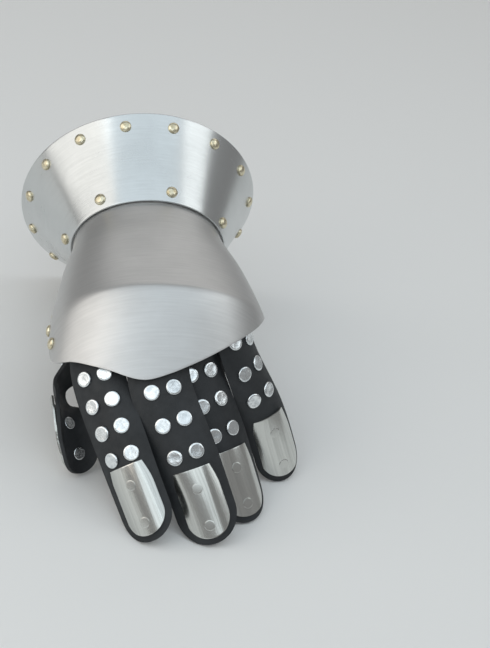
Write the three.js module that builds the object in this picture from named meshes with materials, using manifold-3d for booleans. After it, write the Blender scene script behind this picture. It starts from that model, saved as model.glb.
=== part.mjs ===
// The left gauntlet of a pair, in the hourglass form: a flared steel cuff riveted round a
// steel hand plate, with leather strips for the fingers and the thumb, set with flat discs
// and ending in riveted steel tip plates.
//
// Millimetres. The shell has a frame of its own: its origin is the middle of the narrow waist,
// +Y runs to the elbow, +Z to the back of the hand and -X to the thumb. The outer group leans
// that frame forward until the cuff's rim and the fingertips both stand on z = 0.
import * as THREE from "three";
import { mergeVertices } from "three/addons/utils/BufferGeometryUtils.js";
import Module from "manifold-3d";

const wasm = await Module();
wasm.setup();

const steelWall = 1.2;
const leatherWall = 2;
const gap = 0.3;
const restLean = 10; // degrees

const cuff = {
  length: 58,
  waistHalfWidth: 46,
  waistHalfHeight: 36.5,
  rimHalfWidth: 72.5,
  rimHalfHeight: 74,
  rimDrop: 12, // how far the rim's middle lies below the waist's
  rimSlant: 6.5, // degrees that the rim leans out of square
  flare: 0.12, // share by which the bell lags behind a straight cone
  columns: 48,
  rows: 5,
};

// `start` is the first rivet's share of a turn from the back of the hand, `along` its share of
// the way from the waist to the rim.
const rimRivets = { count: 15, start: -0.309, along: 0.855 };
const waistRivets = { count: 7, start: -0.256, along: 0.115 };
const dome = { radius: 3.4, rise: 2.1, sides: 10 };
const disc = { radius: 4.3, rise: 1.1, bevel: 0.5, sides: 10 };

// Cross-sections of the hand plate, `past` mm from the waist towards the fingers:
// half-widths on the thumb's and the little finger's side, and the depth below the middle.
const plateSections = [
  { past: -14, thumbSide: 48.6, littleSide: 48.6, below: 40 },
  { past: 0, thumbSide: 44.3, littleSide: 44.3, below: 35 },
  { past: 35, thumbSide: 53, littleSide: 54, below: 38 },
  { past: 70, thumbSide: 60, littleSide: 61, below: 40 },
  { past: 100, thumbSide: 61.5, littleSide: 63, below: 40 },
  { past: 130, thumbSide: 60, littleSide: 58, below: 38 },
];

// Height of the back of the hand above the waist's middle, up to the knuckles.
const backLine = [
  { past: -14, height: 39 },
  { past: 0, height: 34.8 },
  { past: 30, height: 39 },
  { past: 60, height: 44 },
  { past: 84, height: 48.5 },
];

// The soft ridge over the knuckles, by the angle round the hand from its back,
// negative on the thumb's side.
const knuckleRidge = [
  { angle: -170, past: 40 },
  { angle: -81, past: 71 },
  { angle: -30, past: 81 },
  { angle: 0, past: 84 },
  { angle: 30, past: 82 },
  { angle: 60, past: 74 },
  { angle: 80, past: 64 },
  { angle: 170, past: 40 },
];

// The plate's cut edge: open palm, thumb notch, index corner, point over the middle finger,
// little finger's corner, open palm.
const plateEdge = [
  { angle: -168, past: 6 },
  { angle: -158, past: 26 },
  { angle: -148, past: 54 },
  { angle: -138, past: 74 },
  { angle: -128, past: 72 },
  { angle: -115, past: 63 },
  { angle: -104, past: 65 },
  { angle: -94, past: 80 },
  { angle: -84, past: 96 },
  { angle: -74, past: 104 },
  { angle: -55, past: 111 },
  { angle: -34, past: 120 },
  { angle: -12, past: 128 },
  { angle: 8, past: 121.5 },
  { angle: 28, past: 109.5 },
  { angle: 50, past: 92 },
  { angle: 70, past: 73 },
  { angle: 84, past: 61 },
  { angle: 98, past: 54 },
  { angle: 130, past: 38 },
  { angle: 150, past: 22 },
  { angle: 168, past: 6 },
];

const plate = {
  insideCuff: 11.5,
  ridgeDrop: 0.72, // how steeply the plate falls beyond the ridge
  ridgeSoftness: 6,
  squareness: 0.07, // how far the section swells past an oval at the knuckles
  columnStep: 6, // degrees
  rowsBehind: 7,
  rowsBeyond: 5,
};

// Leather band inside the thumb notch, and the brass rivets that hold it.
const notchBand = { from: -130, to: -91, hidden: 9, showing: 5.5, columns: 9, rows: 3 };
const notchRivets = { angles: [-143, -131, -118, -104, -92, -80], fromEdge: 10 };

// One strip for each finger. It leaves the plate at `leaves` degrees round the hand, `under` mm
// below the plate's face, and ends at `tip`, where its outer face looks along `facing`. `bow`
// lifts the middle of the strip, and `roundness` is the radius it is rolled to.
const fingers = [
  {
    name: "index", leaves: -44, under: 6.2, tip: [-7, -190.5, -36], bow: 3,
    facing: [-0.5, -0.69, 0.52], halfWidth: 15.8, roundness: 24, discRows: 4, firstRow: 22.3, pitch: 15.2,
  },
  {
    name: "middle", leaves: -5, under: 2.7, tip: [27, -190, -37.8], bow: 3,
    facing: [-0.22, -0.71, 0.67], halfWidth: 17, roundness: 30, discRows: 3, firstRow: 25, pitch: 18,
  },
  {
    name: "ring", leaves: 15, under: 9, tip: [50, -170, -43.1], bow: 2,
    facing: [0.26, -0.56, 0.79], halfWidth: 14.5, roundness: 24, discRows: 3, firstRow: 24, pitch: 17.2,
  },
  {
    name: "little", leaves: 40, under: 3, tip: [76, -134, -49.4], bow: 2,
    facing: [0.2, -0.6, 0.77], halfWidth: 14.5, roundness: 22, discRows: 3, firstRow: 18.5, pitch: 17.2,
  },
];

const strip = { columns: 8, rows: 12, tucked: 15 }; // tucked: length hidden under the plate
const discsApart = 12;
const tipPlate = {
  length: 38, halfWidthAtTop: 9.8, halfWidth: 12, leatherBeyond: 3.5, columns: 8, rows: 6,
};

// The thumb's strip starts inside the palm corner of the notch, narrows to a neck and turns in
// below the index finger. `line` is its middle line, `facings` the ways its outer face looks.
const thumb = {
  line: [
    [-41.8, -63, -19.8], [-43.5, -76, -21.6], [-55, -92, -26],
    [-55, -104, -27], [-49, -116, -31], [-39, -133, -50],
  ],
  facings: [[-0.75, 0, -0.66], [-0.85, 0.05, -0.5], [-0.9, 0.1, -0.42], [-0.4, 0.4, -0.82], [-0.25, 0.5, -0.83]],
  widths: [{ at: 0, half: 11 }, { at: 0.2, half: 10 }, { at: 0.35, half: 7 }, { at: 0.55, half: 12.5 }, { at: 1, half: 12.5 }],
  roundness: 18,
  baseDiscs: 20,
  rows: 18,
  tipLift: 0.9, // the twisted leather bulges under the plate
};

const finishes = {
  steel: new THREE.MeshStandardMaterial({ color: 0xb4bcc2, roughness: 0.35, metalness: 1 }),
  brass: new THREE.MeshStandardMaterial({ color: 0xd3c08a, roughness: 0.3, metalness: 1 }),
  leather: new THREE.MeshStandardMaterial({ color: 0x26282a, roughness: 0.75, metalness: 0 }),
  nickel: new THREE.MeshStandardMaterial({ color: 0xdde4e6, roughness: 0.25, metalness: 1 }),
};

const radians = THREE.MathUtils.degToRad;
const vector = (list) => new THREE.Vector3(...list);

// A smooth curve through the rows of a table: the value of `column` where `key` equals `at`.
function read(table, key, column, at) {
  const last = table.length - 1;
  const x = THREE.MathUtils.clamp(at, table[0][key], table[last][key]);
  let i = 0;
  while (i < last - 1 && table[i + 1][key] < x) i++;
  const slope = (j) => {
    const a = table[Math.max(j - 1, 0)];
    const b = table[Math.min(j + 1, last)];
    return (b[column] - a[column]) / (b[key] - a[key]);
  };
  const run = table[i + 1][key] - table[i][key];
  const t = (x - table[i][key]) / run;
  const rise = t * t * (3 - 2 * t);
  return (
    table[i][column] * (1 - rise) +
    table[i + 1][column] * rise +
    run * (slope(i) * t * (1 - t) ** 2 - slope(i + 1) * t * t * (1 - t))
  );
}

// The cuff's outer face. `turn` is the angle from the back of the hand, `share` runs from the
// waist (0) to the rim (1).
function cuffPoint(turn, share) {
  const grown = share + cuff.flare * (share * share - share);
  const halfWidth = cuff.waistHalfWidth + (cuff.rimHalfWidth - cuff.waistHalfWidth) * grown;
  const halfHeight = cuff.waistHalfHeight + (cuff.rimHalfHeight - cuff.waistHalfHeight) * grown;
  const up = halfHeight * Math.cos(turn);
  return new THREE.Vector3(
    halfWidth * Math.sin(turn),
    cuff.length * share - up * Math.tan(radians(cuff.rimSlant)) * share,
    up - cuff.rimDrop * grown,
  );
}

// The hand plate's outer face at `angle` degrees round the hand, `past` mm beyond the waist.
function platePoint(angle, past) {
  const side = Math.sin(radians(angle));
  const top = Math.cos(radians(angle));
  const power = 1 - plate.squareness * THREE.MathUtils.smoothstep(past, 0, 45);
  const width = read(plateSections, "past", side < 0 ? "thumbSide" : "littleSide", past);
  const height = read(backLine, "past", "height", Math.min(past, 84));
  const below = read(plateSections, "past", "below", past);
  const beyond = Math.max(past - ridgeAt(angle), 0);
  const fall = plate.ridgeDrop * (Math.hypot(beyond, plate.ridgeSoftness) - plate.ridgeSoftness);
  return new THREE.Vector3(
    width * Math.sign(side) * Math.abs(side) ** power,
    -past,
    top > 0 ? height * top ** power - fall * Math.sqrt(top) : below * top,
  );
}

const edgeAt = (angle) => read(plateEdge, "angle", "past", angle);
const ridgeAt = (angle) => read(knuckleRidge, "angle", "past", angle);

// Unit normal of a two-parameter face, pointing out: `point(a, b)` with small steps in a and b.
function normalAt(point, a, b, stepA, stepB) {
  const alongA = point(a + stepA, b).sub(point(a - stepA, b));
  const alongB = point(a, b + stepB).sub(point(a, b - stepB));
  return alongA.cross(alongB).normalize();
}

// Closes a wall between a grid of outer points and the same grid moved in along its normals.
// outer[j][i] and inner[j][i] are rows of columns; a ring also joins its last column to its first.
function closeWall(outer, inner, ring) {
  const rows = outer.length;
  const columns = outer[0].length;
  const positions = [...outer.flat(), ...inner.flat()].flatMap((p) => p.toArray());
  const index = [];
  const at = (layer, j, i) => layer * rows * columns + j * columns + (i % columns);
  const quad = (a, b, c, d) => index.push(a, b, c, a, c, d);
  const spans = ring ? columns : columns - 1;
  for (let i = 0; i < spans; i++) {
    for (let j = 0; j < rows - 1; j++) {
      quad(at(0, j, i), at(0, j, i + 1), at(0, j + 1, i + 1), at(0, j + 1, i));
      quad(at(1, j, i), at(1, j + 1, i), at(1, j + 1, i + 1), at(1, j, i + 1));
    }
    quad(at(0, 0, i), at(1, 0, i), at(1, 0, i + 1), at(0, 0, i + 1));
    const end = rows - 1;
    quad(at(0, end, i), at(0, end, i + 1), at(1, end, i + 1), at(1, end, i));
  }
  if (!ring) {
    const end = columns - 1;
    for (let j = 0; j < rows - 1; j++) {
      quad(at(0, j, 0), at(0, j + 1, 0), at(1, j + 1, 0), at(1, j, 0));
      quad(at(0, j, end), at(1, j, end), at(1, j + 1, end), at(0, j + 1, end));
    }
  }
  return new THREE.BufferGeometry()
    .setAttribute("position", new THREE.Float32BufferAttribute(positions, 3))
    .setIndex(index);
}

// A wall over the face `point(a, b)`, `inset` mm in from it. Both the grid's columns and the
// step in a run so that a, then b, turn round the outward normal.
function wallOver(point, grid, steps, inset, wall, ring = false) {
  const layer = (depth) =>
    grid.map((row) =>
      row.map(([a, b]) => point(a, b).addScaledVector(normalAt(point, a, b, ...steps), -depth)),
    );
  return closeWall(layer(inset), layer(inset + wall), ring);
}

const spread = (count) => Array.from({ length: count + 1 }, (_, i) => i / count);

function solidOf(geometry) {
  const bare = geometry.clone();
  bare.deleteAttribute("normal");
  bare.deleteAttribute("uv");
  const merged = mergeVertices(bare, 1e-4);
  return new wasm.Manifold(
    new wasm.Mesh({
      numProp: 3,
      vertProperties: merged.attributes.position.array,
      triVerts: new Uint32Array(merged.index.array),
    }),
  );
}

function geometryOf(solid) {
  const mesh = solid.getMesh();
  return new THREE.BufferGeometry()
    .setAttribute("position", new THREE.BufferAttribute(mesh.vertProperties, 3))
    .setIndex(new THREE.BufferAttribute(mesh.triVerts, 1));
}

function addMesh(group, name, geometry, finish) {
  geometry.computeVertexNormals();
  const mesh = new THREE.Mesh(geometry, finishes[finish]);
  mesh.name = name;
  group.add(mesh);
  return mesh;
}

// A rivet head standing on its base at the origin, its axis along +Y.
function domeHead(sunk = 0) {
  const { radius, rise, sides } = dome;
  const profile = [[0, -sunk], [radius, -sunk], [radius * 0.92, rise * 0.45], [radius * 0.55, rise * 0.86], [0, rise]];
  return new THREE.LatheGeometry(profile.map(([r, y]) => new THREE.Vector2(r, y)), sides);
}

function discHead() {
  const { radius, rise, bevel, sides } = disc;
  const profile = [[0, 0], [radius, 0], [radius, rise - bevel], [radius - bevel, rise], [0, rise]];
  return new THREE.LatheGeometry(profile.map(([r, y]) => new THREE.Vector2(r, y)), sides);
}

// Turns a head's +Y onto `normal` and stands it at `point`, `lift` off the face.
function placeOn(geometry, point, normal, lift) {
  const turn = new THREE.Quaternion().setFromUnitVectors(new THREE.Vector3(0, 1, 0), normal);
  const stand = point.clone().addScaledVector(normal, lift);
  return geometry.applyMatrix4(new THREE.Matrix4().compose(stand, turn, new THREE.Vector3(1, 1, 1)));
}

const twoDigits = (n) => String(n).padStart(2, "0");

function addCuff(group) {
  const grid = spread(cuff.rows).map((share) =>
    Array.from({ length: cuff.columns }, (_, i) => [(i / cuff.columns) * 2 * Math.PI, share]),
  );
  const steps = [0.01, 0.01];
  const bell = solidOf(wallOver(cuffPoint, grid, steps, 0, steelWall, true));
  const rivetAt = (set, i, sunk, lift) => {
    const turn = (set.start + i / set.count) * 2 * Math.PI;
    const normal = normalAt(cuffPoint, turn, set.along, ...steps);
    return placeOn(domeHead(sunk), cuffPoint(turn, set.along), normal, lift);
  };
  let riveted = bell;
  for (let i = 0; i < waistRivets.count; i++) {
    riveted = riveted.add(solidOf(rivetAt(waistRivets, i, steelWall / 2, 0)));
  }
  addMesh(group, "cuff", geometryOf(riveted), "steel");
  for (let i = 0; i < rimRivets.count; i++) {
    addMesh(group, `rim_rivet_${twoDigits(i + 1)}`, rivetAt(rimRivets, i, 0, gap), "brass");
  }
}

const plateSteps = [-0.5, 0.5];
const plateNormal = (angle, past) => normalAt(platePoint, angle, past, ...plateSteps);
const underPlate = (angle, past, depth) =>
  platePoint(angle, past).addScaledVector(plateNormal(angle, past), -depth);

function addHandPlate(group) {
  const first = plateEdge[0].angle;
  const last = plateEdge[plateEdge.length - 1].angle;
  const columns = Math.round((last - first) / plate.columnStep);
  const angles = spread(columns).map((t) => last + (first - last) * t);
  // Rows run evenly from inside the cuff to the ridge, then from the ridge to the edge.
  const pastAt = (angle, row) => {
    const start = -plate.insideCuff;
    const edge = edgeAt(angle);
    const ridge = Math.min(ridgeAt(angle), start + (edge - start) * 0.65);
    return row <= plate.rowsBehind
      ? start + ((ridge - start) * row) / plate.rowsBehind
      : ridge + ((edge - ridge) * (row - plate.rowsBehind)) / plate.rowsBeyond;
  };
  const grid = spread(plate.rowsBehind + plate.rowsBeyond).map((_, row) =>
    angles.map((angle) => [angle, pastAt(angle, row)]),
  );
  let riveted = solidOf(wallOver(platePoint, grid, plateSteps, 0, steelWall));
  for (const angle of notchRivets.angles) {
    const past = edgeAt(angle) - notchRivets.fromEdge;
    const stand = platePoint(angle, past);
    riveted = riveted.add(solidOf(placeOn(domeHead(steelWall / 2), stand, plateNormal(angle, past), 0)));
  }
  addMesh(group, "hand_plate", geometryOf(riveted), "steel");
}

function addNotchBand(group) {
  const { from, to, hidden, showing, columns, rows } = notchBand;
  const grid = spread(rows).map((t) =>
    spread(columns).map((u) => {
      const angle = to + (from - to) * u;
      return [angle, edgeAt(angle) - hidden + (hidden + showing) * t];
    }),
  );
  const band = wallOver(platePoint, grid, plateSteps, steelWall + gap, leatherWall);
  addMesh(group, "notch_band", band, "leather");
}

// The outer face of a strip rolled round its middle line: `across` runs to the little finger's
// side and `past` along the line, both in mm. `facing(t)` is the way the face looks.
function stripFace(line, facing, roundness) {
  const length = line.getLength();
  return (across, past) => {
    const t = THREE.MathUtils.clamp(past / length, 0, 1);
    const along = line.getTangentAt(t);
    const out = facing(t);
    out.addScaledVector(along, -out.dot(along)).normalize();
    const side = out.clone().cross(along);
    const turn = across / roundness;
    return line
      .getPointAt(t)
      .addScaledVector(along, past - t * length)
      .addScaledVector(side, roundness * Math.sin(turn))
      .addScaledVector(out, roundness * (Math.cos(turn) - 1));
  };
}

const stripSteps = [-0.2, 0.2];

// Grid for a strip from `start` to a round end at `end`, `halfAt(past)` mm to either side.
function roundEndedGrid(start, end, halfAt, columns, rows) {
  const radius = halfAt(end);
  return spread(rows).map((t) =>
    spread(columns).map((u) => {
      const share = Math.cos(Math.PI * u);
      const reach = end - radius + radius * Math.sqrt(1 - share * share);
      const past = start + (reach - start) * t;
      return [share * halfAt(past), past];
    }),
  );
}

function addTip(group, name, face, length, lift) {
  const end = length - tipPlate.leatherBeyond;
  const start = end - tipPlate.length;
  const halfAt = (past) => {
    const share = THREE.MathUtils.clamp((past - start) / (tipPlate.length * 0.35), 0, 1);
    return tipPlate.halfWidthAtTop + (tipPlate.halfWidth - tipPlate.halfWidthAtTop) * Math.sin((share * Math.PI) / 2);
  };
  const grid = roundEndedGrid(start, end, halfAt, tipPlate.columns, tipPlate.rows);
  addMesh(group, name, wallOver(face, grid, stripSteps, -(lift + steelWall), steelWall), "steel");
}

function addDisc(group, name, face, across, past) {
  const normal = normalAt(face, across, past, ...stripSteps);
  addMesh(group, name, placeOn(discHead(), face(across, past), normal, gap + 0.1), "nickel");
}

function addFinger(group, finger) {
  const edge = edgeAt(finger.leaves);
  const root = underPlate(finger.leaves, edge - strip.tucked, finger.under);
  const exit = underPlate(finger.leaves, edge, finger.under);
  const tip = vector(finger.tip);
  const facing = vector(finger.facing).normalize();
  const middle = exit.clone().lerp(tip, 0.5).addScaledVector(facing, finger.bow);
  const line = new THREE.CatmullRomCurve3([root, exit, middle, tip]);
  const rootFacing = plateNormal(finger.leaves, edge - strip.tucked / 2);
  const facingAt = (t) => rootFacing.clone().lerp(facing, THREE.MathUtils.smoothstep(t, 0.1, 0.8));
  const face = stripFace(line, facingAt, finger.roundness);
  const length = line.getLength();
  const grid = roundEndedGrid(0, length, () => finger.halfWidth, strip.columns, strip.rows);
  addMesh(group, `${finger.name}_strip`, wallOver(face, grid, stripSteps, 0, leatherWall), "leather");
  addTip(group, `${finger.name}_tip`, face, length, gap);
  let count = 0;
  for (let row = 0; row < finger.discRows; row++) {
    for (const side of [-1, 1]) {
      count++;
      const past = finger.firstRow + row * finger.pitch;
      addDisc(group, `${finger.name}_disc_${count}`, face, (side * discsApart) / 2, past);
    }
  }
}

function addThumb(group) {
  const line = new THREE.CatmullRomCurve3(thumb.line.map(vector));
  const facings = new THREE.CatmullRomCurve3(thumb.facings.map(vector));
  const face = stripFace(line, (t) => facings.getPoint(t), thumb.roundness);
  const length = line.getLength();
  const halfAt = (past) => read(thumb.widths, "at", "half", past / length);
  const grid = roundEndedGrid(0, length, halfAt, strip.columns, thumb.rows);
  addMesh(group, "thumb_strip", wallOver(face, grid, stripSteps, 0, leatherWall), "leather");
  addTip(group, "thumb_tip", face, length, thumb.tipLift);
  [-1, 1].forEach((side, i) => {
    addDisc(group, `thumb_disc_${i + 1}`, face, (side * discsApart) / 2, thumb.baseDiscs);
  });
}

// Leans the shell forward and sets the middle of its box over the origin, its lowest point at 0.
function standUp(shell) {
  const gauntlet = new THREE.Group();
  gauntlet.add(shell);
  shell.rotation.x = radians(restLean);
  gauntlet.updateMatrixWorld(true);
  const box = new THREE.Box3().setFromObject(gauntlet, true);
  const middle = box.getCenter(new THREE.Vector3());
  shell.position.set(-middle.x, -middle.y, -box.min.z);
  gauntlet.updateMatrixWorld(true);
  return gauntlet;
}

const shell = new THREE.Group();
addCuff(shell);
addHandPlate(shell);
addNotchBand(shell);
fingers.forEach((finger) => addFinger(shell, finger));
addThumb(shell);

export default standUp(shell);
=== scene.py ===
import math

import bpy
import numpy as np
from mathutils import Matrix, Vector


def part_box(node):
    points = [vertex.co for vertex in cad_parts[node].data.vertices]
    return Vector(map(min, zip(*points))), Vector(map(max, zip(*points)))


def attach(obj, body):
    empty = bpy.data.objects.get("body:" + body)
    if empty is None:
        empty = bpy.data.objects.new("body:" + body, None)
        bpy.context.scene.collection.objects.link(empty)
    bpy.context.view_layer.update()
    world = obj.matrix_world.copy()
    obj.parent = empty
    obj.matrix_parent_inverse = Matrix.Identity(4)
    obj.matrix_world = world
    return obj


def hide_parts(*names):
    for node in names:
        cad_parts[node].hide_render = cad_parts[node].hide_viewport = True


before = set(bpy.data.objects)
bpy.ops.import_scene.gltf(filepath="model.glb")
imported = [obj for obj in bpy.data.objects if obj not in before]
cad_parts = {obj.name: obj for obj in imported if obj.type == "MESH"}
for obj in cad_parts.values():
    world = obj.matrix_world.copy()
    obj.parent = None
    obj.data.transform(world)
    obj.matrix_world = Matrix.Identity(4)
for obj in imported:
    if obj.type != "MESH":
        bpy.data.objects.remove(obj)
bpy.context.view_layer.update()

mm = 0.001

# The shell's own frame, in mm: its origin is the middle of the waist, +Y runs to the elbow,
# +Z to the back of the hand, -X to the thumb. toRow leans it onto the table.
shellLean = math.radians(10)
steelWall = 1.2
leatherWall = 2.0
gap = 0.3
walls = {"edgeSegments": 3, "sharpAngle": math.radians(50)}  # only edges sharper than this are rounded


# Nothing below the low value, one above the high value, and a cubic ease between them.
def smoothstep(x, low, high):
    t = np.clip((x - low) / (high - low), 0, 1)
    return t * t * (3 - 2 * t)


# A smooth curve through a table's rows: cubic pieces whose slope at a row is that of its two neighbours.
def readTable(table, key, column, at):
    xs, ys = np.array(table[key], float), np.array(table[column], float)
    before = np.maximum(np.arange(len(xs)) - 1, 0)
    after = np.minimum(np.arange(len(xs)) + 1, len(xs) - 1)
    slopes = (ys[after] - ys[before]) / (xs[after] - xs[before])
    x = np.clip(at, xs[0], xs[-1])
    i = np.clip(np.searchsorted(xs, x) - 1, 0, len(xs) - 2)
    run = xs[i + 1] - xs[i]
    t = (x - xs[i]) / run
    rise = t * t * (3 - 2 * t)
    return (ys[i] * (1 - rise) + ys[i + 1] * rise
            + run * (slopes[i] * t * (1 - t) ** 2 - slopes[i + 1] * t * t * (1 - t)))


def unit(v):
    return v / np.maximum(np.linalg.norm(v, axis=-1, keepdims=True), 1e-12)


# Normal of a face(a, b): cross product of its small steps in a and in b. A negative step turns it over.
def faceNormal(face, a, b, steps):
    alongA = face(a + steps[0], b) - face(a - steps[0], b)
    alongB = face(a, b + steps[1]) - face(a, b - steps[1])
    return unit(np.cross(alongA, alongB))


# Leans shell points forward about X and gives them in metres, before the shift into the row's frame.
def leaned(points):
    x, y, z = points[..., 0], points[..., 1], points[..., 2]
    cosLean, sinLean = math.cos(shellLean), math.sin(shellLean)
    return np.stack([x, y * cosLean - z * sinLean, y * sinLean + z * cosLean], -1) * mm


cuff = {
    "length": 58, "waistHalfWidth": 46, "waistHalfHeight": 36.5,
    "rimHalfWidth": 72.5, "rimHalfHeight": 74, "rimDrop": 12, "rimSlant": 6.5, "flare": 0.12,
    "columns": 240, "rows": 44, "edgeRound": 0.45,
}


# The cuff: ovals that grow from the waist to the rim, their middles sinking, in planes that lean back.
def cuffFace(turn, share):
    grown = share + cuff["flare"] * (share * share - share)
    halfWidth = cuff["waistHalfWidth"] + (cuff["rimHalfWidth"] - cuff["waistHalfWidth"]) * grown
    halfHeight = cuff["waistHalfHeight"] + (cuff["rimHalfHeight"] - cuff["waistHalfHeight"]) * grown
    up = halfHeight * np.cos(turn)
    y = cuff["length"] * share - up * math.tan(math.radians(cuff["rimSlant"])) * share
    return np.stack([halfWidth * np.sin(turn), y, up - cuff["rimDrop"] * grown], -1)


# The rim's lowest point and the cuff's middle fix where the shell lies in the row's frame.
lowRim = leaned(cuffFace(np.array(math.pi), np.array(1.0)))
cuffLow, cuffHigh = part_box("cuff")
rowShift = np.array([(cuffLow[0] + cuffHigh[0]) / 2, cuffHigh[1] - lowRim[1], cuffLow[2] - lowRim[2]])


def toRow(points):
    return leaned(points) + rowShift


def newObject(name, data):
    made = bpy.data.objects.new(name, data)
    bpy.context.scene.collection.objects.link(made)
    return made


# Makes an object of a mesh in the row's frame, smooth shaded, riding on the one body.
def addPiece(name, points, faces, material, uv=None):
    mesh = bpy.data.meshes.new(name)
    mesh.from_pydata(points.reshape(-1, 3).tolist(), [], faces)
    if uv is not None:
        layer = mesh.uv_layers.new(name="UVMap")
        loops = np.empty(len(mesh.loops), np.int32)
        mesh.loops.foreach_get("vertex_index", loops)
        layer.data.foreach_set("uv", uv.reshape(-1, 2)[loops].astype(np.float32).ravel())
    mesh.shade_smooth()
    mesh.materials.append(material)
    piece = newObject(name, mesh)
    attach(piece, "root")
    return piece


# Quads of a grid of rows by columns, wound so that column direction x row direction looks outward.
def gridFaces(rows, columns, ring=False):
    spans = columns if ring else columns - 1
    j, i = np.meshgrid(np.arange(rows - 1), np.arange(spans), indexing="ij")
    nextI = (i + 1) % columns
    quads = [j * columns + i, j * columns + nextI, (j + 1) * columns + nextI, (j + 1) * columns + i]
    return np.stack(quads, -1).reshape(-1, 4)


# Gives a sheet its wall, grown inward, and rounds the wall's edges.
def giveWall(piece, thickness, edgeRound):
    wall = piece.modifiers.new("wall", "SOLIDIFY")
    wall.thickness = thickness * mm
    wall.offset = -1
    wall.use_even_offset = True
    edges = piece.modifiers.new("edges", "BEVEL")
    edges.width = edgeRound * mm
    edges.segments = walls["edgeSegments"]
    edges.limit_method = "ANGLE"
    edges.angle_limit = walls["sharpAngle"]


# A sheet over face(a, b). Its UVs are metres: the mean distance across, and the distance along.
def addSheet(name, face, a, b, steps, lift, material, ring=False):
    points = face(a, b) + faceNormal(face, a, b, steps) * lift
    around = np.linalg.norm(np.diff(points, axis=1, append=points[:, :1]), axis=-1)
    along = np.linalg.norm(np.diff(points, axis=0, append=points[-1:]), axis=-1)
    u = np.cumsum(around, axis=1) - around
    v = np.cumsum(along, axis=0) - along
    rows, columns = a.shape
    uv = np.stack([u.mean(axis=0) + 0 * u, v], -1) * mm
    return addPiece(name, toRow(points), gridFaces(rows, columns, ring).tolist(), material, uv)


tiltSeed = 7


# Many copies of one turned head: a profile of (radius, height) spun round, each copy standing at its
# place with its axis along the normal there, or tilted from it a little at random.
def addHeads(name, profile, sides, places, normals, material, tilt=0.0):
    profile = np.array(profile, float)
    normals = unit(normals + np.random.default_rng(tiltSeed).normal(0, 1, normals.shape) * tilt)
    turn = np.arange(sides) / sides * 2 * math.pi
    head = np.stack([
        profile[:, :1] * np.cos(turn), profile[:, :1] * np.sin(turn),
        np.broadcast_to(profile[:, 1:], (len(profile), sides)),
    ], -1).reshape(-1, 3)
    head = np.concatenate([head, [[0, 0, profile[0, 1]], [0, 0, profile[-1, 1]]]])
    helper = np.where(np.abs(normals[:, 2:]) < 0.9, [[0.0, 0.0, 1.0]], [[1.0, 0.0, 0.0]])
    side = unit(np.cross(helper, normals))
    axes = np.stack([side, np.cross(normals, side), normals], 1)
    points = np.einsum("mk,nkd->nmd", head, axes) + places[:, None]
    belt = gridFaces(len(profile), sides, True)
    i = np.arange(sides)
    last = (len(profile) - 1) * sides
    bottom, top = np.full(sides, len(head) - 2), np.full(sides, len(head) - 1)
    base = np.stack([(i + 1) % sides, i, bottom], -1)
    crown = np.stack([last + i, last + (i + 1) % sides, top], -1)
    firsts = np.arange(len(places))[:, None, None] * len(head)
    quads = (belt + firsts).reshape(-1, 4)
    triangles = (np.concatenate([base, crown]) + firsts).reshape(-1, 3)
    return addPiece(name, toRow(points), quads.tolist() + triangles.tolist(), material)


noiseSpan = (0.3, 0.7)  # nearly all the values of a noise texture lie in here


def newMaterial(name):
    material = bpy.data.materials.new(name)
    material.use_nodes = True
    nodes, links = material.node_tree.nodes, material.node_tree.links
    return material, nodes, links, nodes["Principled BSDF"]


def noiseAt(nodes, links, vector, scale, detail, roughness=0.5):
    noise = nodes.new("ShaderNodeTexNoise")
    noise.inputs["Scale"].default_value = scale
    noise.inputs["Detail"].default_value = detail
    noise.inputs["Roughness"].default_value = roughness
    links.new(vector, noise.inputs["Vector"])
    return noise.outputs["Fac"]


def stretched(nodes, links, vector, scale):
    mapping = nodes.new("ShaderNodeMapping")
    mapping.inputs["Scale"].default_value = scale
    links.new(vector, mapping.inputs["Vector"])
    return mapping.outputs["Vector"]


def ramp(nodes, links, value, stops):
    node = nodes.new("ShaderNodeValToRGB")
    elements = node.color_ramp.elements
    while len(elements) < len(stops):
        elements.new(0.5)
    for element, (position, colour) in zip(elements, stops):
        element.position = position
        element.color = (*colour, 1)
    links.new(value, node.inputs["Fac"])
    return node.outputs["Color"]


def rangeOf(nodes, links, value, low, high):
    node = nodes.new("ShaderNodeMapRange")
    numbers = {"From Min": noiseSpan[0], "From Max": noiseSpan[1], "To Min": low, "To Max": high}
    for key, number in numbers.items():
        node.inputs[key].default_value = number
    links.new(value, node.inputs["Value"])
    return node.outputs["Result"]


def bump(nodes, links, height, distance, strength, before=None):
    node = nodes.new("ShaderNodeBump")
    node.inputs["Distance"].default_value = distance
    node.inputs["Strength"].default_value = strength
    links.new(height, node.inputs["Height"])
    if before is not None:
        links.new(before, node.inputs["Normal"])
    return node.outputs["Normal"]


# brushing and streaks are noise scales per metre, across the piece and along it: the lines run the way of
# the small number. depth and waves are strengths, each for one of the heights in metres in steelRelief.
steelFinishes = {
    "cuff": {"tone": (0.66, 0.68, 0.68), "brushing": (150, 4200, 1), "streaks": (40, 900, 1), "cloud": 38,
             "streaky": 0.4, "darkest": 0.9, "roughness": (0.29, 0.21), "depth": 0.2, "waves": 0.10},
    "plate": {"tone": (0.61, 0.61, 0.605), "brushing": (150, 4200, 1), "streaks": (45, 800, 1), "cloud": 32,
              "streaky": 0.5, "darkest": 0.9, "roughness": (0.50, 0.40), "depth": 0.25, "waves": 0.10},
    "tips": {"tone": (0.70, 0.71, 0.68), "brushing": (4200, 90, 1), "streaks": (620, 12, 1), "cloud": 60,
             "streaky": 0.85, "darkest": 0.80, "roughness": (0.26, 0.15), "depth": 0.15, "waves": 0.22},
}
steelRelief = {
    "brushHeight": 0.00002, "waveHeight": 0.0002, "noiseRoughness": 0.6, "toneStops": (0.35, 0.62),
}


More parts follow.
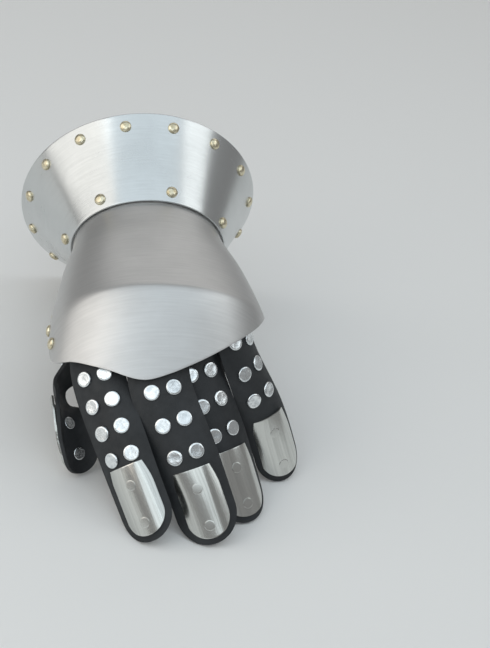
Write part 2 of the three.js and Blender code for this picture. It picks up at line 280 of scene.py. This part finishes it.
# Satin steel: fine brushing along one way of the UV map, broader streaks the same way, and cloudy wear.
def satinSteel(name, finish):
    material, nodes, links, shader = newMaterial(name)
    uv = nodes.new("ShaderNodeTexCoord").outputs["UV"]
    place = nodes.new("ShaderNodeTexCoord").outputs["Object"]
    rough = steelRelief["noiseRoughness"]
    fine = noiseAt(nodes, links, stretched(nodes, links, uv, finish["brushing"]), 1, 2, rough)
    streaks = noiseAt(nodes, links, stretched(nodes, links, uv, finish["streaks"]), 1, 3, rough)
    cloud = noiseAt(nodes, links, place, finish["cloud"], 4, rough)
    mixed = nodes.new("ShaderNodeMix")
    mixed.inputs[0].default_value = finish["streaky"]
    links.new(cloud, mixed.inputs[2])
    links.new(streaks, mixed.inputs[3])
    wear = mixed.outputs[0]
    dark = tuple(c * finish["darkest"] for c in finish["tone"])
    tones = zip(steelRelief["toneStops"], (dark, finish["tone"]))
    links.new(ramp(nodes, links, wear, list(tones)), shader.inputs["Base Color"])
    links.new(rangeOf(nodes, links, wear, *finish["roughness"]), shader.inputs["Roughness"])
    brushed = bump(nodes, links, fine, steelRelief["brushHeight"], finish["depth"])
    waved = bump(nodes, links, wear, steelRelief["waveHeight"], finish["waves"], brushed)
    links.new(waved, shader.inputs["Normal"])
    shader.inputs["Metallic"].default_value = 1
    return material


headFinishes = {  # stain and dents are scales per metre, and heights are in metres
    "brass": {"tones": [(0.3, (0.52, 0.45, 0.29)), (0.62, (0.82, 0.76, 0.58))], "roughness": (0.34, 0.2),
              "stain": 420, "stainDetail": 3, "dents": 900, "dentHeight": 0.00008, "dentStrength": 0.3},
    "nickel": {"tones": [(0.3, (0.66, 0.70, 0.72)), (0.65, (0.90, 0.93, 0.94))], "roughness": (0.3, 0.16),
               "stain": 380, "stainDetail": 2, "dents": 380, "dentHeight": 0.0005, "dentStrength": 0.35},
}


# Polished heads: their tone and roughness vary in blotches, and their surface has shallow dents.
def polishedHeads(name, finish):
    material, nodes, links, shader = newMaterial(name)
    place = nodes.new("ShaderNodeTexCoord").outputs["Object"]
    stain = noiseAt(nodes, links, place, finish["stain"], finish["stainDetail"])
    dents = noiseAt(nodes, links, place, finish["dents"], 2)
    links.new(ramp(nodes, links, stain, finish["tones"]), shader.inputs["Base Color"])
    links.new(rangeOf(nodes, links, stain, *finish["roughness"]), shader.inputs["Roughness"])
    dented = bump(nodes, links, dents, finish["dentHeight"], finish["dentStrength"])
    links.new(dented, shader.inputs["Normal"])
    shader.inputs["Metallic"].default_value = 1
    return material


leatherFinish = {  # grain, creases and cloud are scales per metre, and heights are in metres
    "grain": 1100, "grainHeight": 0.00012, "grainStrength": 0.35,
    "creases": 260, "creaseHeight": 0.0003, "creaseStrength": 0.3,
    "cloud": 60, "tones": [(0.3, (0.014, 0.016, 0.018)), (0.7, (0.025, 0.028, 0.031))],
    "roughness": (0.52, 0.68), "specular": 0.45,
}


# Leather: a fine pebbled grain and broader creases, in a slightly cloudy black.
def blackLeather():
    material, nodes, links, shader = newMaterial("blackLeather")
    place = nodes.new("ShaderNodeTexCoord").outputs["Object"]
    grain = nodes.new("ShaderNodeTexVoronoi")
    grain.inputs["Scale"].default_value = leatherFinish["grain"]
    links.new(place, grain.inputs["Vector"])
    pebbles = grain.outputs["Distance"]
    creases = noiseAt(nodes, links, place, leatherFinish["creases"], 4)
    cloud = noiseAt(nodes, links, place, leatherFinish["cloud"], 2)
    links.new(ramp(nodes, links, cloud, leatherFinish["tones"]), shader.inputs["Base Color"])
    links.new(rangeOf(nodes, links, creases, *leatherFinish["roughness"]), shader.inputs["Roughness"])
    pebbled = bump(nodes, links, pebbles, leatherFinish["grainHeight"], leatherFinish["grainStrength"])
    wrinkled = bump(nodes, links, creases, leatherFinish["creaseHeight"], leatherFinish["creaseStrength"],
                    pebbled)
    links.new(wrinkled, shader.inputs["Normal"])
    shader.inputs["Specular IOR Level"].default_value = leatherFinish["specular"]
    return material


steelCuff = satinSteel("satinSteelCuff", steelFinishes["cuff"])
steelPlate = satinSteel("satinSteelPlate", steelFinishes["plate"])
steelTips = satinSteel("satinSteelTips", steelFinishes["tips"])
brass = polishedHeads("polishedBrass", headFinishes["brass"])
nickel = polishedHeads("brightNickel", headFinishes["nickel"])
leather = blackLeather()
print("materials made")

cuffSteps = (0.004, 0.004)  # radians and share, for the normals
turn, share = np.meshgrid(np.arange(cuff["columns"]) / cuff["columns"] * 2 * math.pi,
                          np.linspace(0, 1, cuff["rows"] + 1))
cuffPiece = addSheet("cuffBell", cuffFace, turn, share, cuffSteps, 0, steelCuff, ring=True)
giveWall(cuffPiece, steelWall, cuff["edgeRound"])
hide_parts("cuff")

brassDome = {"radius": 3.4, "rise": 2.1, "foot": 0.35, "rows": 9, "sides": 28}
insideEnd = {"radius": 2.4, "rise": 0.5, "foot": 0.1, "rows": 5, "sides": 16}
sunkEdge = {"share": 0.97, "depth": 0.1}  # a dome starts under the surface, slightly narrower


# Dome: the height falls off as the square root of one minus the radius squared, above a short upright foot.
def domeProfile(head):
    t = np.linspace(0, 1, head["rows"])[:-1] * math.pi / 2
    domed = head["rise"] - head["foot"]
    arc = np.stack([head["radius"] * np.cos(t), head["foot"] + domed * np.sin(t)], -1)
    return np.concatenate([[[head["radius"] * sunkEdge["share"], -sunkEdge["depth"]]], arc])


def addDomes(name, head, places, normals):
    return addHeads(name, domeProfile(head), head["sides"], places, normals, brass)


# One ring of rivets round the cuff, at a share of its length, with small ends on the inside.
def cuffRivets(name, count, start, along, nodes=()):
    turns = (start + np.arange(count) / count) * 2 * math.pi
    shares = np.full(count, along)
    normals = faceNormal(cuffFace, turns, shares, cuffSteps)
    places = cuffFace(turns, shares)
    outside = addDomes(name, brassDome, places, normals)
    if nodes:
        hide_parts(*nodes)
    addDomes(name + "Ends", insideEnd, places - normals * steelWall, -normals)


rimRivets = {"count": 15, "start": -0.309, "along": 0.855}
waistRivets = {"count": 7, "start": -0.256, "along": 0.115}
cuffRivets("rimRivets", **rimRivets, nodes=["rim_rivet_%02d" % (n + 1) for n in range(rimRivets["count"])])
cuffRivets("waistRivets", **waistRivets)
print("cuff made")

plateSections = {  # past: mm from the waist towards the fingers
    "past": [-14, 0, 35, 70, 100, 130],
    "thumbSide": [48.6, 44.3, 53, 60, 61.5, 60],
    "littleSide": [48.6, 44.3, 54, 61, 63, 58],
    "below": [40, 35, 38, 40, 40, 38],
}
backLine = {"past": [-14, 0, 30, 60, 84], "height": [39, 34.8, 39, 44, 48.5]}
knuckleRidge = {
    "angle": [-170, -81, -30, 0, 30, 60, 80, 170],
    "past": [40, 71, 81, 84, 82, 74, 64, 40],
}
plateEdge = {
    "angle": [-168, -158, -148, -138, -128, -115, -104, -94, -84, -74, -55, -34, -12,
              8, 28, 50, 70, 84, 98, 130, 150, 168],
    "past": [6, 26, 54, 74, 72, 63, 65, 80, 96, 104, 111, 120, 128,
             121.5, 109.5, 92, 73, 61, 54, 38, 22, 6],
}
plate = {
    "insideCuff": 11.5, "ridgeDrop": 0.72, "ridgeSoftness": 6, "squareness": 0.07, "squareBy": 45,
    "columns": 230, "rows": 100, "edgeRound": 0.4,
}


# The hand plate: nearly oval sections by angle round the hand, which widen to the knuckles, less a
# fall beyond the ridge that starts softly (a hyperbola) and then runs straight.
def plateFace(angle, past):
    side, top = np.sin(np.radians(angle)), np.cos(np.radians(angle))
    power = 1 - plate["squareness"] * smoothstep(past, 0, plate["squareBy"])
    width = np.where(side < 0, readTable(plateSections, "past", "thumbSide", past),
                     readTable(plateSections, "past", "littleSide", past))
    height = readTable(backLine, "past", "height", past)
    below = readTable(plateSections, "past", "below", past)
    beyond = np.maximum(past - readTable(knuckleRidge, "angle", "past", angle), 0)
    soft = plate["ridgeSoftness"]
    fall = plate["ridgeDrop"] * (np.hypot(beyond, soft) - soft)
    x = width * np.sign(side) * np.abs(side) ** power
    upper = np.maximum(top, 0)
    z = np.where(top > 0, height * upper ** power - fall * np.sqrt(upper), below * top)
    return np.stack([x, -past, z], -1)


plateSteps = (-0.3, 0.3)  # degrees and mm, for the normals


def edgeAt(angle):
    return readTable(plateEdge, "angle", "past", angle)


def plateNormal(angle, past):
    return faceNormal(plateFace, np.asarray(angle, float), np.asarray(past, float), plateSteps)


angles = np.linspace(plateEdge["angle"][-1], plateEdge["angle"][0], plate["columns"])
angleGrid, down = np.meshgrid(angles, np.linspace(0, 1, plate["rows"]))
pastGrid = -plate["insideCuff"] + (edgeAt(angleGrid) + plate["insideCuff"]) * down
platePiece = addSheet("handPlate", plateFace, angleGrid, pastGrid, plateSteps, 0, steelPlate)
giveWall(platePiece, steelWall, plate["edgeRound"])
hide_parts("hand_plate")

notchRivets = {"angles": np.array([-143.0, -131, -118, -104, -92, -80]), "fromEdge": 10}
notchPast = edgeAt(notchRivets["angles"]) - notchRivets["fromEdge"]
notchNormals = plateNormal(notchRivets["angles"], notchPast)
notchPlaces = plateFace(notchRivets["angles"], notchPast)
addDomes("notchRivets", brassDome, notchPlaces, notchNormals)
print("hand plate made")

notchBand = {
    "from": -130, "to": -91, "hidden": 9, "showing": 5.5,
    "columns": 70, "rows": 22, "edgeRound": 0.6,
}
bandAngle, bandDown = np.meshgrid(np.linspace(notchBand["to"], notchBand["from"], notchBand["columns"]),
                                  np.linspace(0, 1, notchBand["rows"]))
bandPast = edgeAt(bandAngle) - notchBand["hidden"] + (notchBand["hidden"] + notchBand["showing"]) * bandDown
bandPiece = addSheet("notchBand", plateFace, bandAngle, bandPast, plateSteps, -(steelWall + gap),
                     leather)
giveWall(bandPiece, leatherWall, notchBand["edgeRound"])
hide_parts("notch_band")

strip = {
    "tucked": 15, "columns": 48, "rows": 120, "edgeRound": 0.6,
    "turns": (0.1, 0.8),  # shares of the length between which the facing changes
    "spreadLost": 0.7, "spreadFades": (0.5, 0.9),
}
disc = {  # the profile runs from the sunken edge up the side, round the shoulder and into the dimple
    "radius": 4.3, "apart": 12, "tilt": 0.05, "sides": 32,
    "shares": [0.97, 1, 1, 0.95, 0.86, 0.72, 0.4],
    "heights": [-0.4, 0.25, 0.62, 0.95, 1.15, 1.15, 1.0695],
}
tipPlate = {  # a crease is its place across the plate and the change of slope there
    "length": 38, "halfWidthAtTop": 9.8, "halfWidth": 12, "widensOver": 0.35, "leatherBeyond": 3.5,
    "rivets": [10.5, 31.0], "creases": [(-7.5, 0.12), (6.5, 0.3)], "creaseSoftness": 0.8,
    "columns": 64, "rows": 60, "edgeRound": 0.35,
}
flushRivet = {"radius": 2.9, "sides": 28, "shares": [1, 1, 0.95, 0.8], "heights": [-0.3, 0.03, 0.08, 0.1]}
underCap = {"narrowed": 0.82, "flattened": 0.6, "sides": 24}
stripSteps = (-0.1, 0.1)  # mm, for the normals
aheadStep = 0.5
lineSamples = 60  # on each stretch between two of a line's points


# Smooth line through a few points (centripetal Catmull-Rom), read by distance along it.
def smoothLine(points):
    p = np.array(points, float)
    p = np.concatenate([[2 * p[0] - p[1]], p, [2 * p[-1] - p[-2]]])
    step = np.sqrt(np.linalg.norm(np.diff(p, axis=0), axis=1))
    t = np.linspace(0, 1, lineSamples, endpoint=False)[:, None]
    runs = []
    for i in range(1, len(p) - 2):
        d0, d1, d2 = step[i - 1], step[i], step[i + 1]
        m1 = d1 * ((p[i] - p[i - 1]) / d0 - (p[i + 1] - p[i - 1]) / (d0 + d1) + (p[i + 1] - p[i]) / d1)
        m2 = d1 * ((p[i + 1] - p[i]) / d1 - (p[i + 2] - p[i]) / (d1 + d2) + (p[i + 2] - p[i + 1]) / d2)
        runs.append(p[i] + m1 * t + (3 * (p[i + 1] - p[i]) - 2 * m1 - m2) * t ** 2
                    + (2 * (p[i] - p[i + 1]) + m1 + m2) * t ** 3)
    path = np.concatenate(runs + [p[-2:-1]])
    reach = np.concatenate([[0], np.cumsum(np.linalg.norm(np.diff(path, axis=0), axis=1))])
    return path, reach


def pointAt(line, past):
    path, reach = line
    return np.stack([np.interp(past, reach, path[:, k]) for k in range(3)], -1)


# A strip rolled round its line: from the line's point, a circle arc of the roundness to either side,
# bending back from the way the face looks.
def stripFace(line, facing, roundness):
    length = line[1][-1]

    def face(across, past):
        inside = np.clip(past, 0, length)
        after = pointAt(line, np.minimum(inside + aheadStep, length))
        before = pointAt(line, np.maximum(inside - aheadStep, 0))
        ahead = unit(after - before)
        out = facing(inside / length)
        out = unit(out - ahead * np.sum(out * ahead, -1, keepdims=True))
        side = np.cross(out, ahead)
        bend = (across / roundness)[..., None]
        return (pointAt(line, inside) + ahead * (past - inside)[..., None]
                + side * roundness * np.sin(bend) + out * roundness * (np.cos(bend) - 1))

    return face, length


# Columns of a round-ended strip: each runs from the start to the half circle at the end.
def roundEnded(start, end, halfAt, columns, rows):
    radius = halfAt(np.array(end))
    share, t = np.meshgrid(np.cos(math.pi * np.linspace(0, 1, columns)), np.linspace(0, 1, rows))
    reach = end - radius + radius * np.sqrt(np.maximum(1 - share ** 2, 0))
    past = start + (reach - start) * t
    return share * halfAt(past), past


# Profile of a head from its shares of the radius and its heights.
def headProfile(head):
    return np.stack([head["radius"] * np.array(head["shares"]), head["heights"]], -1)


def addStrip(name, face, length, halfAt, nodes):
    across, past = roundEnded(0, length, halfAt, strip["columns"], strip["rows"])
    piece = addSheet(name, face, across, past, stripSteps, 0, leather)
    giveWall(piece, leatherWall, strip["edgeRound"])
    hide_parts(*nodes)


# Soft creases run along the tip plate. Each adds a hyperbola to the height, nothing on the middle line,
# that changes the slope across the plate by the crease's amount.
def creased(face, lift):
    def raised(across, past):
        soft = tipPlate["creaseSoftness"]
        height = lift
        for place, turned in tipPlate["creases"]:
            height = height + turned / 2 * (math.hypot(place, soft) - np.hypot(across - place, soft))
        normals = faceNormal(face, across, past, stripSteps)
        return face(across, past) + normals * np.asarray(height)[..., None]

    return raised


def addTip(name, face, length, lift, rivetPasts, node):
    end = length - tipPlate["leatherBeyond"]
    start = end - tipPlate["length"]
    widening = tipPlate["halfWidth"] - tipPlate["halfWidthAtTop"]

    # The half width grows as a quarter of a sine wave, then stays.
    def halfAt(past):
        share = np.clip((past - start) / (tipPlate["length"] * tipPlate["widensOver"]), 0, 1)
        return tipPlate["halfWidthAtTop"] + widening * np.sin(share * math.pi / 2)

    across, past = roundEnded(start, end, halfAt, tipPlate["columns"], tipPlate["rows"])
    outside = creased(face, lift + steelWall)
    piece = addSheet(name, outside, across, past, stripSteps, 0, steelTips)
    giveWall(piece, steelWall, tipPlate["edgeRound"])
    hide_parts(node)
    pasts = start + np.array(rivetPasts)
    middles = np.zeros(len(pasts))
    outward = faceNormal(outside, middles, pasts, stripSteps)
    addHeads(name + "Rivets", headProfile(flushRivet), flushRivet["sides"], outside(middles, pasts), outward,
             steelTips)
    normals = faceNormal(face, middles, pasts, stripSteps)
    inner = headProfile(disc) * [underCap["narrowed"], underCap["flattened"]]
    addHeads(name + "Ends", inner, underCap["sides"], face(middles, pasts) - normals * leatherWall, -normals,
             nickel)


def addDiscs(name, face, across, pasts, nodes):
    normals = faceNormal(face, across, pasts, stripSteps)
    piece = addHeads(name, headProfile(disc), disc["sides"], face(across, pasts), normals, nickel,
                     disc["tilt"])
    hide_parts(*nodes)


fingers = {  # leaves: the angle in degrees round the hand at which the strip comes out from the plate
    "index": {
        "leaves": -44, "under": 6.2, "tip": (-7, -190.5, -36), "bow": 3, "facing": (-0.5, -0.69, 0.52),
        "halfWidth": 15.8, "spread": 0.8, "roundness": 24, "discRows": 4, "firstRow": 22.3, "pitch": 15.2,
    },
    "middle": {
        "leaves": -5, "under": 2.7, "tip": (27, -190, -37.8), "bow": 3, "facing": (-0.22, -0.71, 0.67),
        "halfWidth": 17, "spread": 0.7, "roundness": 30, "discRows": 3, "firstRow": 25, "pitch": 18,
    },
    "ring": {
        "leaves": 15, "under": 9, "tip": (50, -170, -43.1), "bow": 2, "facing": (0.26, -0.56, 0.79),
        "halfWidth": 14.5, "spread": 2.8, "roundness": 24, "discRows": 3, "firstRow": 24, "pitch": 17.2,
    },
    "little": {
        "leaves": 40, "under": 3, "tip": (76, -134, -49.4), "bow": 2, "facing": (0.2, -0.6, 0.77),
        "halfWidth": 14.5, "spread": 1.5, "roundness": 22, "discRows": 3, "firstRow": 18.5, "pitch": 17.2,
    },
}


def underPlate(angle, past, depth):
    return plateFace(np.array(float(angle)), np.array(past)) - plateNormal(angle, past) * depth


# A finger's strip runs from under the plate over its edge and on to the tip, bowed outward halfway, and
# its extra width fades towards the tip.
def addFinger(name, finger):
    edge = float(edgeAt(np.array(float(finger["leaves"]))))
    root = underPlate(finger["leaves"], edge - strip["tucked"], finger["under"])
    leave = underPlate(finger["leaves"], edge, finger["under"])
    tip = np.array(finger["tip"], float)
    facing = unit(np.array(finger["facing"]))
    middle = (leave + tip) / 2 + facing * finger["bow"]
    rootFacing = plateNormal(finger["leaves"], edge - strip["tucked"] / 2)

    def facingAt(share):
        return rootFacing + (facing - rootFacing) * smoothstep(share, *strip["turns"])[..., None]

    face, length = stripFace(smoothLine([root, leave, middle, tip]), facingAt, finger["roundness"])

    def halfAt(past):
        fade = smoothstep(past / length, *strip["spreadFades"])
        return finger["halfWidth"] + finger["spread"] * (1 - strip["spreadLost"] * fade)

    addStrip(name + "Strip", face, length, halfAt, [name + "_strip"])
    addTip(name + "Tip", face, length, gap, tipPlate["rivets"], name + "_tip")
    rows = finger["firstRow"] + np.repeat(np.arange(finger["discRows"]), 2) * finger["pitch"]
    sides = np.tile([-disc["apart"] / 2, disc["apart"] / 2], finger["discRows"])
    addDiscs(name + "Discs", face, sides, rows, [f"{name}_disc_{n + 1}" for n in range(len(rows))])


for name, finger in fingers.items():
    addFinger(name, finger)
print("fingers made")

thumb = {
    "line": [(-41.8, -63, -19.8), (-43.5, -76, -21.6), (-55, -92, -26), (-55, -104, -27),
             (-49, -116, -31), (-39, -133, -50)],
    "facings": [(-0.75, 0, -0.66), (-0.85, 0.05, -0.5), (-0.9, 0.1, -0.42), (-0.4, 0.4, -0.82),
                (-0.25, 0.5, -0.83)],
    "widths": {"at": [0, 0.2, 0.35, 0.55, 1], "half": [11, 10, 7, 12.5, 12.5]},
    "roundness": 18, "baseDiscs": 20, "tipLift": 0.9, "tipRivets": [13.5, 30.5],
}


def addThumb():
    facings, _ = smoothLine(thumb["facings"])
    shares = np.linspace(0, 1, len(facings))

    # The facings are read by their place in the list, not by distance.
    def facingAt(share):
        return np.stack([np.interp(share, shares, facings[:, k]) for k in range(3)], -1)

    face, length = stripFace(smoothLine(thumb["line"]), facingAt, thumb["roundness"])

    def halfAt(past):
        return readTable(thumb["widths"], "at", "half", past / length)

    addStrip("thumbStrip", face, length, halfAt, ["thumb_strip"])
    addTip("thumbTip", face, length, thumb["tipLift"], thumb["tipRivets"], "thumb_tip")
    sides = np.array([-disc["apart"] / 2, disc["apart"] / 2])
    pasts = np.full(2, float(thumb["baseDiscs"]))
    addDiscs("thumbDiscs", face, sides, pasts, ["thumb_disc_1", "thumb_disc_2"])


addThumb()
print("thumb made")

floorSheet = {"reach": 3.0, "colour": (0.80, 0.80, 0.79), "roughness": 0.7}


def addFloor():
    reach = floorSheet["reach"]
    corners = [(-reach, -reach, 0), (reach, -reach, 0), (reach, reach, 0), (-reach, reach, 0)]
    mesh = bpy.data.meshes.new("floor")
    mesh.from_pydata(corners, [], [(0, 1, 2, 3)])
    paint, _, _, shader = newMaterial("paleFloor")
    shader.inputs["Base Color"].default_value = (*floorSheet["colour"], 1)
    shader.inputs["Roughness"].default_value = floorSheet["roughness"]
    mesh.materials.append(paint)
    newObject("floor", mesh)


addFloor()
print("floor laid")

studio = {
    "worldColour": (1.0, 1.0, 1.0), "worldStrength": 0.26, "aim": (0, 0, 0.07),
    "boxes": {  # place, width and height in metres, brightness, colour
        "overhead": ((-0.08, -0.36, 1.35), (1.7, 1.7), 0.78, (0.80, 0.92, 1.0)),
        "leftSide": ((-1.2, -0.12, 0.74), (1.3, 1.45), 1.1, (1.0, 0.97, 0.92)),
        "rightTop": ((0.98, 0.0, 1.05), (0.9, 0.6), 1.2, (0.95, 0.99, 1.0)),
        "front": ((-0.42, -1.3, 0.86), (1.15, 0.9), 0.9, (0.86, 0.95, 1.0)),
        "frontLeft": ((-1.12, -0.78, 0.86), (0.42, 0.9), 1.0, (1.0, 0.9, 0.8)),
        "frontRight": ((0.98, -0.62, 1.0), (0.4, 0.8), 1.0, (0.9, 0.97, 1.0)),
        "behind": ((0.3, 1.35, 0.98), (2.0, 0.9), 0.62, (1.0, 0.985, 0.96)),
    },
}
world = bpy.data.worlds.new("studio")
world.use_nodes = True
background = world.node_tree.nodes["Background"]
background.inputs["Color"].default_value = (*studio["worldColour"], 1)
background.inputs["Strength"].default_value = studio["worldStrength"]
bpy.context.scene.world = world


# Frame of something at a place that looks at the aim point: right, up and back in its columns.
def lookFrom(place, aim):
    back = unit(place - aim)
    right = unit(np.cross([0, 0, 1], back))
    return placed(np.stack([right, np.cross(back, right), back], 1), place)


def placed(axes, spot):
    return Matrix([[*row, spot[k]] for k, row in enumerate(axes.tolist())] + [[0, 0, 0, 1]])


# A soft box whose face has the given brightness.
def addSoftBox(name, place, size, brightness, colour):
    light = bpy.data.lights.new(name, "AREA")
    light.shape = "RECTANGLE"
    light.size, light.size_y = size
    light.energy = brightness * math.pi * size[0] * size[1]
    light.color = colour
    box = newObject(name, light)
    box.matrix_world = lookFrom(np.array(place), np.array(studio["aim"]))


for name, (place, size, brightness, colour) in studio["boxes"].items():
    addSoftBox(name, place, size, brightness, colour)
print("lights placed")

cameraData = {
    "azimuth": -17.0, "elevation": 42.3, "roll": 14.5, "offset": (-57.6, -45.2, 900.0),
    "lens": 84.17, "sensor": 36,
}


# The camera is set in the shell's frame (turned from -Y, above the shell's level, rolled), with the
# shell's origin at the offset before it (right, down, away), then leaned with the shell.
def cameraMatrix():
    azimuth, elevation = math.radians(cameraData["azimuth"]), math.radians(cameraData["elevation"])
    roll = math.radians(cameraData["roll"])
    back = np.array([math.sin(azimuth) * math.cos(elevation), -math.cos(azimuth) * math.cos(elevation),
                     math.sin(elevation)])
    right = unit(np.cross(-back, [0, 0, 1]))
    up = np.cross(right, -back)
    right, up = right * math.cos(roll) + up * math.sin(roll), up * math.cos(roll) - right * math.sin(roll)
    offset = cameraData["offset"]
    place = -(right * offset[0] - up * offset[1] - back * offset[2])
    axes = leaned(np.stack([right, up, back])) / mm
    return placed(axes.T, toRow(place))


lens = bpy.data.cameras.new("camera")
lens.lens = cameraData["lens"]
lens.sensor_width = cameraData["sensor"]
camera = newObject("camera", lens)
camera.matrix_world = cameraMatrix()
bpy.context.scene.camera = camera
bpy.context.scene.view_settings.view_transform = "Standard"
print("camera set")
